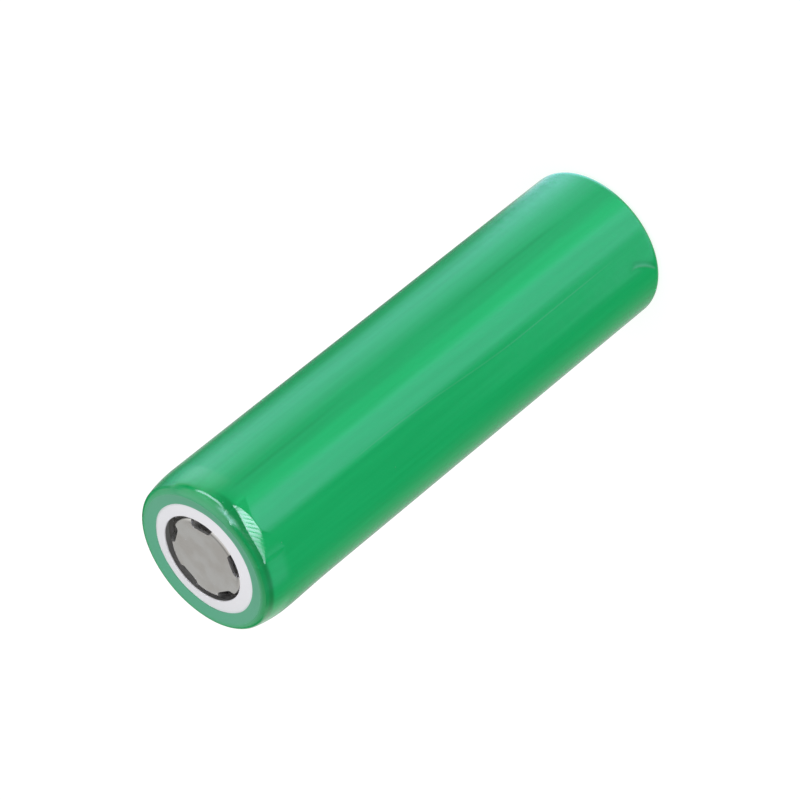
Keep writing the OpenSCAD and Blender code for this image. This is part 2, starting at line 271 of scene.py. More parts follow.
# %% Tent world
world = bpy.data.worlds.new("light_tent")
bpy.context.scene.world = world
world.use_nodes = True
world.cycles.sampling_method = "NONE"
tent = NodeSheet(world.node_tree)
x, y, z = split(tent, tent.add("ShaderNodeTexCoord", output="Generated"))
turn_angle = turn_from_front(x, y)
height_angle = z.maths("ARCSINE", z) * math.degrees(1)
soft_ray = tent.add("ShaderNodeLightPath", output="Is Diffuse Ray")
camera_ray = tent.add("ShaderNodeLightPath", output="Is Camera Ray")
room = tent.add("ShaderNodeBackground", {}, {"Color": COLOURS["white"], "Strength": TENT_REST})
for name, colour in COLOURS.items():
    level = lit_by(tent, name, turn_angle, height_angle)
    if name == "strip":
        level = level * (1 - soft_ray)
    light = tent.add("ShaderNodeBackground", {}, {"Color": colour, "Strength": level})
    room = tent.add("ShaderNodeAddShader", {}, {0: room, 1: light})
plain_white = tent.add("ShaderNodeBackground", {}, {"Color": COLOURS["white"], "Strength": 1.0})
seen = tent.add("ShaderNodeMixShader", {}, {0: camera_ray, 1: room, 2: plain_white})
tent.add("ShaderNodeOutputWorld", {}, {"Surface": seen}, None)
print("tent with", len(tent.tree.nodes), "nodes")

# %% [markdown]
# ## The table
#
# The cell stands on a plain white table. A white surface under soft light looks paper white only if it gives
# back as much light as the tent sends, so the table glows a little by itself and keeps a faint shadow where
# the cell touches it. Mirror rays pass through it to the tent's lower panels, and from below it is clear.

# %% Table
TABLE_R = 3.0
TABLE_SIDES = 96
TABLE_GLOW = 0.82
TABLE_UNEVEN = 0.01
TABLE_WHITE = 0.28

table_mesh = bpy.data.meshes.new("table")
shape = bmesh.new()
bmesh.ops.create_circle(shape, cap_ends=True, segments=TABLE_SIDES, radius=TABLE_R)
shape.to_mesh(table_mesh)
shape.free()
table = bpy.data.objects.new("table", table_mesh)
bpy.context.scene.collection.objects.link(table)
table.visible_glossy = False
table_white = bpy.data.materials.new("table_white")
table_white.use_nodes = True
table_white.cycles.emission_sampling = "NONE"
sheet = NodeSheet(table_white.node_tree)
cloud = sheet.add("ShaderNodeTexNoise", {}, {"Scale": 6.0, "Detail": 2.0})
paint = sheet.add("ShaderNodeBsdfDiffuse", {}, {"Color": (TABLE_WHITE, TABLE_WHITE, TABLE_WHITE, 1)})
own_light = sheet.add("ShaderNodeEmission", {}, {"Strength": TABLE_GLOW + cloud * TABLE_UNEVEN})
both = sheet.add("ShaderNodeAddShader", {}, {0: paint, 1: own_light})
clear = sheet.add("ShaderNodeBsdfTransparent")
under = sheet.add("ShaderNodeNewGeometry", output="Backfacing")
mixed = sheet.add("ShaderNodeMixShader", {}, {0: under, 1: both, 2: clear})
sheet.add("ShaderNodeOutputMaterial", {}, {"Surface": mixed}, None)
table_mesh.materials.append(table_white)
table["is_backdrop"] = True
print("table", f"{2 * TABLE_R:.0f} m across")

# %% [markdown]
# ## Turned and bent sheet
#
# Almost every piece of a cell is sheet bent to a line and turned about the axis. The line is a list of
# corners with a bend radius at each. Bending it, giving it a thickness and turning it are three short
# functions. A Screw modifier would turn a line too, but a mesh that the script makes itself can also be
# pushed about point by point.

# %% Lines of sheet
def unit(v):
    return v / np.linalg.norm(v)


def bent(corners, radii, step=0.04):
    """The line of corners with each corner bent to its radius, in stretches of about one step."""
    points = []
    corners = [np.array(c, float) for c in corners]
    for i, (corner, radius) in enumerate(zip(corners, radii)):
        if radius == 0:
            points.append(corner)
            continue
        back = unit(corners[i - 1] - corner)
        on = unit(corners[(i + 1) % len(corners)] - corner)
        half = math.acos(np.clip(back @ on, -1, 1)) / 2
        sweep = math.pi - 2 * half
        centre = corner + unit(back + on) * radius / math.sin(half)
        start = corner + back * radius / math.tan(half) - centre
        stop = corner + on * radius / math.tan(half) - centre
        for share in np.linspace(0, 1, max(3, math.ceil(radius * sweep / step) + 1)):
            arm = math.sin((1 - share) * sweep) * start + math.sin(share * sweep) * stop
            points.append(centre + arm / math.sin(sweep))
    return np.array(points)


def lengths(line):
    """How far along the line each of its points is."""
    return np.r_[0, np.cumsum(np.linalg.norm(np.diff(line, axis=0), axis=1))]


def spaced(line, step):
    """Points along the line, step(point) apart: fine where the surface has detail, coarse elsewhere."""
    along = lengths(line)
    places = [0.0]
    while places[-1] < along[-1]:
        here = [np.interp(places[-1], along, line[:, k]) for k in (0, 1)]
        places.append(places[-1] + step(here))
    places = np.array(places) * along[-1] / places[-1]
    return np.stack([np.interp(places, along, line[:, k]) for k in (0, 1)], 1)


def left_of(line):
    """Unit normals to the left of a line, at its points."""
    along = np.gradient(line, axis=0)
    along /= np.linalg.norm(along, axis=1)[:, None]
    return np.stack([-along[:, 1], along[:, 0]], 1)


print("line helpers ready")

# %% Turned meshes
ON_AXIS = 1e-6
SHARP_EDGE = math.radians(50)


def new_piece(name, points, faces):
    """A smooth-shaded object from points in mm, with its sharp edges left sharp."""
    mesh = bpy.data.meshes.new(name)
    mesh.from_pydata((np.array(points) * MM).tolist(), [], faces)
    shape = bmesh.new()
    shape.from_mesh(mesh)
    bmesh.ops.recalc_face_normals(shape, faces=shape.faces)
    shape.to_mesh(mesh)
    shape.free()
    mesh.shade_smooth()
    mesh.set_sharp_from_angle(angle=SHARP_EDGE)
    piece = bpy.data.objects.new(name, mesh)
    bpy.context.scene.collection.objects.link(piece)
    return piece


def joined(name, rings, closed):
    """Piece of rings of points joined in order, where a ring of one point is a pole on the axis."""
    starts = np.cumsum([0] + [len(ring) for ring in rings])
    order = list(range(len(rings))) + ([0] if closed else [])
    faces = []
    for a, b in zip(order[:-1], order[1:]):
        count = max(len(rings[a]), len(rings[b]))
        here = np.arange(count)
        there = (here + 1) % count
        corners = [starts[a] + here % len(rings[a]), starts[a] + there % len(rings[a]),
                   starts[b] + there % len(rings[b]), starts[b] + here % len(rings[b])]
        faces += [list(dict.fromkeys(face)) for face in np.stack(corners, 1).tolist()]
    return new_piece(name, np.concatenate(rings), faces)


def circle(r, z, columns):
    """Ring of points about the axis from the front, -Y, where r and z may vary round it."""
    if np.ndim(r) == 0 and r < ON_AXIS:
        return np.array([[0.0, 0.0, z]])
    angle = np.linspace(0, 2 * math.pi, columns, endpoint=False)
    return np.stack([r * np.sin(angle), -r * np.cos(angle), z + 0 * angle], 1)


def lathe(name, outline, columns):
    """Closed piece turned from an outline that either is a loop or starts and ends on the axis."""
    on_axis = outline[0][0] < ON_AXIS and outline[-1][0] < ON_AXIS
    return joined(name, [circle(r, z, columns) for r, z in outline], not on_axis)


def sheet_outline(line, t, edge=0.02):
    """Outline of sheet of thickness t to the left of a line, with its cut edges eased by edge."""
    loop = np.concatenate([line, (line + t * left_of(line))[::-1]])
    cut = (0, len(line) - 1, len(line), len(loop) - 1)
    outline = []
    for i, point in enumerate(loop):
        if i in cut and point[0] > ON_AXIS:
            before = loop[i - 1]
            after = loop[(i + 1) % len(loop)]
            outline += [point + edge * unit(before - point), point + edge * unit(after - point)]
        else:
            outline.append(point)
    return np.array(outline)


print("turning helpers ready")

# %% [markdown]
# ## The shrink sleeve
#
# The sleeve is a tube of green film that is slipped over the finished can and shrunk with hot air. It grips
# the straight wall, bridges the groove of the bead near the positive end, and folds over both rims. Film
# never shrinks quite evenly: it sinks in a shallow ring beside the rim, dents where it pulls, and keeps fine
# ripples. It could be a cloth simulation, but the sleeve's form is known, so the film is a grid in turn and
# height, pushed in and out by a sum of named dents and ridges.

# %% Sleeve outline
CELL_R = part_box("sleeve")[1].x / MM
CELL_H = cad_box[1].z / MM
FILM = 0.1
FILM_TOP_R = 6.7
FILM_BASE_R = 7.2
FILM_BEND_STEP = 0.03
CREST_R = 8.05
SHOULDER_BEND = 0.75
BRIDGE_BEND = 16.0
BASE_BEND = 1.03
LEAN = math.radians(12.5)
FALL = math.radians(10.5)

crest_z = CELL_H - SHOULDER_BEND
fall_r = CREST_R - SHOULDER_BEND * math.sin(FALL)
fall_z = crest_z + SHOULDER_BEND * math.cos(FALL)


def film_top(r):
    """Height of the film's upper face on the positive end."""
    return fall_z - (fall_r - r) * math.tan(FALL)


lean_end = (CREST_R + SHOULDER_BEND * math.cos(LEAN), crest_z + SHOULDER_BEND * math.sin(LEAN))
lean_z = lean_end[1] - (CELL_R - lean_end[0]) / math.tan(LEAN)
run = (film_top(CELL_R) - lean_z) / (math.cos(LEAN) + math.tan(FALL) * math.sin(LEAN))
shoulder = (CELL_R - run * math.sin(LEAN), lean_z + run * math.cos(LEAN))
film_line = bent([(FILM_BASE_R, 0), (CELL_R, 0), (CELL_R, lean_z), shoulder,
                  (FILM_TOP_R, film_top(FILM_TOP_R))],
                 [0, BASE_BEND, BRIDGE_BEND, SHOULDER_BEND, 0], FILM_BEND_STEP)
wall_line = film_line[(film_line[:, 0] > CREST_R) & (film_line[:, 1] > BASE_BEND)]
print("film outline", len(film_line), "points, straight wall up to", f"{lean_z:.1f} mm")

# %% [markdown]
# The dents and ridges are bumps with a centre, a width and a depth, in millimetres and in degrees of turn
# from the front. Many of them fade in and out over spans. A span is a pair of numbers, where a change starts
# and where it is complete, so a span that runs backwards fades out.

# %% Relief helpers
def turns(columns):
    """Degrees of turn of the columns of a turned mesh."""
    return np.linspace(0, 360, columns, endpoint=False)


def away(turn, centre):
    """Degrees of turn from a centre, the short way round."""
    return (turn - centre + 180) % 360 - 180


def hump(distance, width):
    """1 at no distance, fading like a bell."""
    return np.exp(-(distance / width) ** 2)


def eased(value, start, end):
    """0 at start, 1 at end, eased between."""
    share = np.clip((value - start) / (end - start), 0, 1)
    return share * share * (3 - 2 * share)


def between(value, rise, fall):
    """1 inside a stretch that fades in over one span and out over another."""
    return eased(value, *rise) * eased(value, *fall)


def ripple(turn, seed, counts):
    """Waves round the cell, whole counts of them with random strengths and starts."""
    draw = np.random.default_rng(seed)
    total = 0 * turn
    for count in counts:
        total += draw.uniform(0.4, 1.0) * np.sin(np.radians(count * turn + draw.uniform(0, 360)))
    return total / len(counts) ** 0.5


print("relief helpers ready")

# %% [markdown]
# A fold runs round beside the rim and dips where the film was pinched. In front of the dip the film stays as
# full as the barrel and then drops to the fold in one slanting facet. The facet is shaped like a lens, and
# its tail is bowed. The rim's bend is drawn to a sharp corner in front, and beside the lens it is dented
# instead. The facet, the corner and the dent catch the strip lamps.

# %% Fold, facet and rim
FOLD_Z = 63.85
FOLD_SINK = 0.10
FOLD_EDGE = 0.55
DIP = 0.9
DIP_TURN = 20
DIP_SPREAD = (18, 25)
LENS_W = 1.2
LENS_OPENS = (-29.5, -8)
LENS_THINS = (24, -6)
LENS_ENDS = (16.5, 12.5)
LENS_FULL = 0.25
LENS_SLOPE = math.tan(math.radians(17.5))
LENS_BOW = 0.12
BOW_TURNS = (-6, -18)
EASY_SLOPE = math.tan(math.radians(7))
RIM_CORNER = math.radians(66)
SHARP_TURNS = ((-85, -60), (75, 55))
BLUNT_TURNS = ((3, 14), (66, 48))
RIM_DENT = 0.145
DENT_TURNS = ((11, 23), (66, 48))
DENT_Z = 64.42
DENT_CLIMB = 0.12
CLIMB_TURNS = ((26, 12), (32, 46))
DENT_SPREAD = (0.42, 0.8)
DENT_EDGE = 0.45


def wall_r(z):
    """Radius of the smooth outline at a height on the wall."""
    return np.interp(z, wall_line[:, 1], wall_line[:, 0])


def fold_z(turn):
    """Height of the fold beside the rim."""
    side = away(turn, DIP_TURN)
    return FOLD_Z - DIP * hump(side, np.where(side < 0, *DIP_SPREAD))


def rim_corner(z):
    """How far a sharp rim stands out from the bent one, in mm."""
    bend = math.asin(np.clip((z - crest_z) / SHOULDER_BEND, -1, 1)) - LEAN
    spare = min(bend, RIM_CORNER - bend)
    return SHOULDER_BEND * (1 / math.cos(spare) - 1) if spare > 0 else 0.0


def shoulder_relief(turn, r, z):
    """The fold beside the rim, the facet under it and the rim's corner and dent, in mm outwards."""
    side = away(turn, 0)
    lens = LENS_W * eased(side, *LENS_OPENS) ** 0.5 * between(side, LENS_THINS, LENS_ENDS)
    kept = eased(lens, 0, LENS_FULL)
    below = fold_z(turn) - z
    rise = np.clip(below, 0, lens)
    bow = LENS_BOW * eased(side, *BOW_TURNS) / 2
    facet = wall_r(fold_z(turn)) - FOLD_SINK * kept + LENS_SLOPE * rise - bow * rise ** 2
    taut = np.minimum(facet + EASY_SLOPE * np.clip(below - lens, 0, None), CELL_R) - r
    relief = kept * np.where(below > 0, taut, -FOLD_SINK * eased(r, CREST_R, CREST_R + FOLD_EDGE))
    sharp = between(side, *SHARP_TURNS) * (1 - between(side, *BLUNT_TURNS))
    relief = relief + sharp * rim_corner(z)
    dent_z = DENT_Z + DENT_CLIMB * sum(eased(side, *span) for span in CLIMB_TURNS)
    dent = hump(z - dent_z, np.where(z < dent_z, *DENT_SPREAD)) * eased(r, CREST_R, CREST_R + DENT_EDGE)
    return relief - RIM_DENT * between(side, *DENT_TURNS) * dent


print("fold dips by", f"{DIP:.1f} mm, facet up to {LENS_W:.1f} mm wide")

# %% [markdown]
# The rest of the wall is smoother. It swells a little over the bead on one side, keeps low waves that twist
# round the cell, and has one short slanting crease near the base. The faces folded over the ends are rippled.

# %% Film relief
SHOULDER_FROM = 55
SWELL = 0.11
SWELL_TURN = -88
SWELL_Z = 60.5
SWELL_SPREAD = (34, 3.6)
WAVES = 0.006
WAVES_TWIST = 2.0
WAVES_FADE = (1, 6)
FACE_WAVES = 0.004
BASE_FACE_Z = 1
CREASE = 0.024
CREASE_W = 1.3
CREASE_TURN = -32
CREASE_TOP = 4.2
CREASE_RUN = 3.1
CREASE_SWING = 11.5
CREASE_CURVE = 1.6
CREASE_MOST = 1.3
CREASE_HEIGHTS = ((0.6, 1.4), (5.2, 3.6))


def crease(turn, z, shift, width):
    """A short slanting crease in the wall near the base, moved round by a shift in degrees."""
    along = np.clip((CREASE_TOP - z) / CREASE_RUN, 0, CREASE_MOST)
    centre = CREASE_TURN - CREASE_SWING * along ** CREASE_CURVE
    return hump(away(turn, 0) - centre - shift, width) * between(z, *CREASE_HEIGHTS)


def film_relief(turn, r, z):
    """How far the film stands out from its smooth outline, in mm."""
    swell = SWELL * hump(away(turn, SWELL_TURN), SWELL_SPREAD[0]) * hump(z - SWELL_Z, SWELL_SPREAD[1])
    waves = WAVES * ripple(turn + WAVES_TWIST * z, 5, (5, 8, 11)) * eased(z, *WAVES_FADE)
    if r < CREST_R:
        # under the cell the face is drawn in by as much as it waves, so that the cell still stands on z = 0
        return FACE_WAVES * ripple(turn, 7, (13, 17, 23, 31)) - (FACE_WAVES if z < BASE_FACE_Z else 0)
    if z < BASE_BEND:
        return 0 * turn
    relief = swell + waves + CREASE * crease(turn, z, 0, CREASE_W)
    if z > SHOULDER_FROM:
        relief = relief + shoulder_relief(turn, r, z)
    return relief


print("film relief ready")

# %% [markdown]
# The form also settles the colour. Shade is painted into the fold beside the rim and beside the crease near
# the base, and highlights are painted in one wedge under the rim and along the crease. The film is also paler
# on its folded faces and beside the dented rim. Fine slanting lines were dragged into the lens and the wedge.
# Three more functions say where, so that colour and form agree.

# %% Painted shade, painted highlights and wear of the film
BASE_WEAR_TO = 5.5
TOP_WEAR_FROM = 60
SHADE_LEAST = 0.12
SHADE_TURNS = ((-120, -50), (40, 4))
# painted shade in the fold beside the rim, darkest in front
SHADE_EDGE = (-0.3, 0.15)
SHADE_LOSS = 0.35
SHADE_LOSS_Z = (64.1, 64.5)
# painted shade beside the crease near the base
CREASE_SHADE = 0.45
CREASE_SHADE_SHIFT = 2.6
CREASE_SHADE_W = 1.8
# painted highlight along the crease near the base
CREASE_PALE = 0.6
CREASE_PALE_W = 1.0
BASE_FOLDED_R = (8.6, 7.9)
TOP_FOLDED_R = (8.55, 7.7)
BESIDE = 0.65
BESIDE_R = (9.3, 7.9)
BESIDE_TURNS = ((-5, 15), (110, 60))
BESIDE_Z = (63.95, 64.35)
# painted highlight in the wedge under the rim, where the rim's bright line runs out
WEDGE = 0.9
WEDGE_Z = 64.28
WEDGE_H = 0.26
WEDGE_TURNS = ((0, 8), (27, 18))
LENS_SCORE_TURN = -5
LENS_SCORE_SPREAD = 15
LENS_SCORE_UNDER = 0.6
LENS_SCORE_H = 0.8
WEDGE_SCORES = 0.4
WEDGE_SCORE_TURN = 10
WEDGE_SCORE_SPREAD = 9
WEDGE_SCORE_Z = 64.25
WEDGE_SCORE_H = 0.3


def film_hollow(turn, r, z):
    """How much shade is painted into the film in the fold beside the rim and beside the crease, 0 to 1."""
    if r < CREST_R or BASE_WEAR_TO < z < TOP_WEAR_FROM:
        return 0 * turn
    depth = SHADE_LEAST + (1 - SHADE_LEAST) * between(away(turn, 0), *SHADE_TURNS)
    lower = eased(z - fold_z(turn), *SHADE_EDGE)
    upper = 1 - SHADE_LOSS * eased(z, *SHADE_LOSS_Z)
    beside = crease(turn, z, CREASE_SHADE_SHIFT, CREASE_SHADE_W)
    return depth * lower * upper + CREASE_SHADE * beside


def film_drawn(turn, r, z):
    """How pale the film is on its folded faces and beside the rim, with highlights painted in the wedge and
    along the crease, 0 to 1.
    """
    if z <= BASE_BEND:
        return eased(r + 0 * turn, *BASE_FOLDED_R)
    if z < TOP_WEAR_FROM:
        return CREASE_PALE * crease(turn, z, 0, CREASE_PALE_W)
    side = away(turn, 0)
    folded = eased(r, *TOP_FOLDED_R)
    beside = BESIDE * eased(r, *BESIDE_R) * between(side, *BESIDE_TURNS) * eased(z, *BESIDE_Z)
    wedge = WEDGE * hump(z - WEDGE_Z, WEDGE_H) * between(side, *WEDGE_TURNS)
    return np.maximum(np.maximum(folded, beside), wedge * (r > CREST_R))


def film_scored(turn, r, z):
    """Where fine slanting lines were dragged into the film, 0 to 1."""
    if z <= TOP_WEAR_FROM or r <= CREST_R:
        return 0 * turn
    side = away(turn, 0)
    under = fold_z(turn) - z
    lens = hump(side - LENS_SCORE_TURN, LENS_SCORE_SPREAD) * hump(under - LENS_SCORE_UNDER, LENS_SCORE_H)
    wedge = hump(side - WEDGE_SCORE_TURN, WEDGE_SCORE_SPREAD) * hump(z - WEDGE_SCORE_Z, WEDGE_SCORE_H)
    return np.maximum(lens, WEDGE_SCORES * wedge)


print("wear of the film ready")

# %% [markdown]
# The film's two faces are rings of points, close together near the ends and far apart on the wall. Three more
# rows stand at the rim's sharp corner, so that it isn't blurred. The cut edges wander a little. The painted
# shade, the paleness with its painted highlights, and the scored lines are kept on the mesh as three numbers
# at each point, for the finish to read.

# %% Sleeve mesh
COLUMNS = 480
FINE_STEP = 0.06
BASE_STEP = 0.15
WALL_STEP = 0.7
INNER_STEP = 0.2
INNER_WALL_STEP = 3.0
FINE_FROM = 59.5
FINE_BASE = 5.0
TOP_EDGE_WAVE = 0.03
BASE_EDGE_WAVE = 0.1
EDGE_REACH = 1.2
CORNER_EASE = 0.012


def film_rings(line, inset):
    """Rings of the film's face that lies inset from its outside."""
    normals = left_of(line)
    along = lengths(line)
    turn = turns(COLUMNS)
    top_wave = TOP_EDGE_WAVE * ripple(turn, 3, (2, 3, 5, 9))
    base_wave = BASE_EDGE_WAVE * ripple(turn, 4, (2, 3, 5, 7))
    rings = []
    for (r, z), (nr, nz), s in zip(line, normals, along):
        push = film_relief(turn, r, z) - inset
        slide = top_wave * eased(s, along[-1] - EDGE_REACH, along[-1])
        slide = slide + base_wave * eased(s, EDGE_REACH, 0)
        ring_r = r - push * nr + slide * nz
        ring_z = z - push * nz - slide * nr
        rings.append(circle(ring_r, ring_z, COLUMNS))
    return rings


def near_ends(fine, base, wall):
    """Steps along the film: fine at the positive end, base at the negative end, wall between."""
    return lambda p: fine if p[1] > FINE_FROM else (base if p[1] < FINE_BASE else wall)


def rim_point(bend):
    """Point of the outline where the rim has bent by an angle."""
    angle = LEAN + bend
    return (CREST_R + SHOULDER_BEND * math.cos(angle), crest_z + SHOULDER_BEND * math.sin(angle))


outside = spaced(film_line, near_ends(FINE_STEP, BASE_STEP, WALL_STEP))
corner_rows = [rim_point(RIM_CORNER / 2 + aside) for aside in (-CORNER_EASE, 0, CORNER_EASE)]
corner_at = np.flatnonzero(outside[:, 1] > corner_rows[0][1])[0]
outside = np.insert(outside, corner_at, corner_rows, axis=0)
inside = spaced(film_line, near_ends(INNER_STEP, INNER_STEP, INNER_WALL_STEP))
sleeve = joined("shrink_sleeve", film_rings(outside, 0) + film_rings(inside, FILM)[::-1], True)
turn_round = turns(COLUMNS)
# painted shade, paleness with painted highlights, and scored lines, as numbers at each point
for name, wear_and_light in (("hollow", film_hollow), ("drawn", film_drawn), ("scored", film_scored)):
    rows = [wear_and_light(turn_round, r, z) + 0 * turn_round for r, z in list(outside) + list(inside[::-1])]
    sleeve.data.attributes.new(name, "FLOAT", "POINT").data.foreach_set("value", np.concatenate(rows))
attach(sleeve, "cell")
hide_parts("sleeve")
print("sleeve", len(sleeve.data.vertices), "points")

# %% [markdown]
# ## The washer
#
# A ring punched from white insulating paper lies on the crimped lip, under the film's edge. It is dished: the
# film presses it down outside, and the gasket's lip lifts it at its hole. Two straight stretches with a bend
# between them, turned, give it. A punched hole is never quite round or quite central, so its edge wavers a
# little and sits a tenth of a millimetre to one side.

# %% Washer mesh
# slack is left between faces and bends that would otherwise meet
SLACK = 0.01
WASHER = 0.2
WASHER_VALLEY_R = 6.63
WASHER_BEND = 0.3
WASHER_STEP = 0.08
WASHER_EDGE = 0.035
WASHER_COLUMNS = 256
HOLE_R = 5.24
HOLE_WAVER = 0.012
HOLE_ASIDE = 0.1
HOLE_REACH_R = 6.2

washer_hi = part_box("washer")[1] / MM
film_under = FILM / math.cos(FALL) + SLACK
washer_r = washer_hi.x
washer_line = bent([(washer_r, film_top(washer_r) - film_under),
                    (WASHER_VALLEY_R, film_top(WASHER_VALLEY_R) - film_under), (HOLE_R, washer_hi.z)],
                   [0, WASHER_BEND, 0])
washer_loop = sheet_outline(spaced(washer_line, lambda p: WASHER_STEP), WASHER, WASHER_EDGE)
turn_round = turns(WASHER_COLUMNS)
waver = HOLE_WAVER * ripple(turn_round, 11, (3, 5, 8, 13, 21)) + HOLE_ASIDE * np.sin(np.radians(turn_round))
washer_rings = [circle(r + waver * eased(r, HOLE_REACH_R, HOLE_R), z, WASHER_COLUMNS) for r, z in washer_loop]
washer = joined("paper_washer", washer_rings, True)
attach(washer, "cell")
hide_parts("washer")
print("washer hole", f"{2 * HOLE_R:.2f} mm")

# %% [markdown]
# ## The terminal cap
#
# The positive terminal is stamped from nickel-plated steel: a flat button, a rim bent down into legs, and a
# flange that the crimp holds. Five windows between the legs let gas out. Turning the bent sheet gives the
# button, a Boolean cuts the windows, and a narrow bevel gives the punched edges their slight roundness. The
# press sets the button a little off the flange's centre, so its points are moved aside last, less and less
# outwards.

# %% Cap sheet
CAP = 0.35
CAP_STEP = 0.12
CAP_COLUMNS = 240
BUTTON_R = 4.9
BUTTON_RISE = 1.05
LEG_RUN = 0.35
BUTTON_BEND = 0.9
FLANGE_BEND = 0.3

cap_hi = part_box("terminal_cap")[1] / MM
flange_z = cap_hi.z - BUTTON_RISE
cap_line = bent([(0, cap_hi.z), (BUTTON_R, cap_hi.z), (BUTTON_R + LEG_RUN, flange_z), (cap_hi.x, flange_z)],
                [0, BUTTON_BEND, FLANGE_BEND, 0])
cap = lathe("positive_terminal", sheet_outline(spaced(cap_line, lambda p: CAP_STEP), -CAP), CAP_COLUMNS)
print("cap sheet", f"{2 * cap_hi.x:.1f} mm across, button {2 * BUTTON_R:.1f} mm")

# %% Window cutter
WINDOWS = 5
WINDOW_TURN = 20.5
WINDOW_ROOT_R = 3.93
WINDOW_W = 2.2
WINDOW_FLARE = math.radians(30)
WINDOW_DEPTH = 1.6
WINDOW_BEND = 0.5
CUTTER_OVER = 1


def window_prism(name, z, height):
    """The five window shapes, flared outwards, as upright prisms."""
    root = WINDOW_W / 2
    mouth = root + WINDOW_DEPTH * math.tan(WINDOW_FLARE)
    shape = bent([(WINDOW_DEPTH, -mouth), (0, -root), (0, root), (WINDOW_DEPTH, mouth)],
                 [0, WINDOW_BEND, WINDOW_BEND, 0])
    points = []
    faces = []
    for i in range(WINDOWS):
        a = math.radians(WINDOW_TURN + i * 360 / WINDOWS)
        turned_shape = [((WINDOW_ROOT_R + px) * math.cos(a) - py * math.sin(a),
                         (WINDOW_ROOT_R + px) * math.sin(a) + py * math.cos(a)) for px, py in shape]
        first = len(points)
        count = len(shape)
        points += [(px, py, z) for px, py in turned_shape] + [(px, py, z + height) for px, py in turned_shape]
        faces.append(list(range(first, first + count)))
        faces.append(list(range(first + count, first + 2 * count)))
        for k in range(count):
            j = (k + 1) % count
            faces.append([first + k, first + j, first + count + j, first + count + k])
    return new_piece(name, points, faces)


cutter = window_prism("window_cutter", flange_z + SLACK, BUTTON_RISE + CUTTER_OVER)
print("cutter for", WINDOWS, "windows")

# %% Cut cap
PUNCHED_EDGE = 0.035
PUNCHED_ANGLE = math.radians(42)
BUTTON_ASIDE = (-0.1, 0.1)
FLANGE_HELD_R = 6.6


def baked(piece):
    """Puts what the modifiers make into the piece's own mesh."""
    result = bpy.data.meshes.new_from_object(piece.evaluated_get(bpy.context.evaluated_depsgraph_get()))
    piece.modifiers.clear()
    piece.data = result


cut = cap.modifiers.new("windows", "BOOLEAN")
cut.operation = "DIFFERENCE"
cut.solver = "EXACT"
cut.object = cutter
bpy.context.view_layer.update()
baked(cap)
bpy.data.objects.remove(cutter)
soften = cap.modifiers.new("punched_edges", "BEVEL")
soften.width = PUNCHED_EDGE * MM
soften.segments = 2
soften.limit_method = "ANGLE"
soften.angle_limit = PUNCHED_ANGLE
baked(cap)
for point in cap.data.vertices:
    share = 1 - eased(math.hypot(point.co.x, point.co.y) / MM, BUTTON_R + LEG_RUN, FLANGE_HELD_R)
    point.co.x += BUTTON_ASIDE[0] * MM * share
    point.co.y += BUTTON_ASIDE[1] * MM * share
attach(cap, "cell")
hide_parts("terminal_cap")
print("cap", len(cap.data.polygons), "faces")

# %% [markdown]
# ## The can
#
# The can is one drawn cup of nickel-plated steel, rolled in to a bead under the header and crimped over it.
# Only its floor shows, inside the film's folded edge at the negative end. The line of the drawing follows the
# solid: floor, wall, bead, head and lip, with a ring pressed into the floor by the drawing punch.

# %% Can mesh
CAN = 0.25
CAN_CORNER = 0.92
HEAD_R = 8.69
HEAD_BEND = 0.3
BEAD_R = 7.65
BEAD_W = 1.12
BEAD_EDGE_BEND = 0.5
CRIMP_EDGE_R = 6.35
CRIMP_BEND = 0.64
MARK_R = 6.625
MARK_W = 0.12
MARK_DEPTH = 0.045
CAN_STEP = 0.1
CAN_WALL_STEP = 4.0
CAN_WALL = (2, 59)
CAN_COLUMNS = 256

can_lo, can_hi = (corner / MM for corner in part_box("can"))
gasket_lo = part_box("gasket")[0] / MM
bead_high = gasket_lo.z - CAN
bead_low = bead_high - BEAD_W
washer_under = film_under + WASHER / math.cos(FALL) + SLACK
bead_bend = BEAD_W / 2 - SLACK
can_line = bent([(0, can_lo.z), (can_hi.x, can_lo.z), (can_hi.x, bead_low), (BEAD_R, bead_low),
                 (BEAD_R, bead_high), (HEAD_R, bead_high), (HEAD_R, film_top(HEAD_R) - washer_under),
                 (CRIMP_EDGE_R, film_top(CRIMP_EDGE_R) - washer_under)],
                [0, CAN_CORNER, BEAD_EDGE_BEND, bead_bend, bead_bend, HEAD_BEND, CRIMP_BEND, 0])
can_line = spaced(can_line, lambda p: CAN_WALL_STEP if CAN_WALL[0] <= p[1] <= CAN_WALL[1] else CAN_STEP)
floor_mark = MARK_DEPTH * hump(can_line[:, 0] - MARK_R, MARK_W)
can_line[:, 1] += np.where(can_line[:, 1] < can_lo.z + SLACK, floor_mark, 0)
can = lathe("drawn_can", sheet_outline(can_line, CAN), CAN_COLUMNS)
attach(can, "cell")
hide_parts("can")
print("can", f"{2 * can_hi.x:.2f} mm across,", len(can_line), "points in its line")

# %% [markdown]
# ## The vent disc
#
# Under the cap lies the safety disc, dished down to a weld on the slug below it. When the cell's pressure
# climbs too far the dish snaps up flat and tears the slug loose. A mesh that only rides on the cell would be
# left behind by the slug; this one is turned with a scored ring on its top and rides on the cell.

# %% Vent disc mesh
VENT = 0.3
VENT_DROP = 0.7
VENT_STEP = 0.07
VENT_COLUMNS = 128
WELD_R = 1.3
DISH_R = 2.8
DISH_BEND = 0.6
SCORE_R = 4.42
SCORE_W = 0.1
SCORE_DEPTH = 0.13

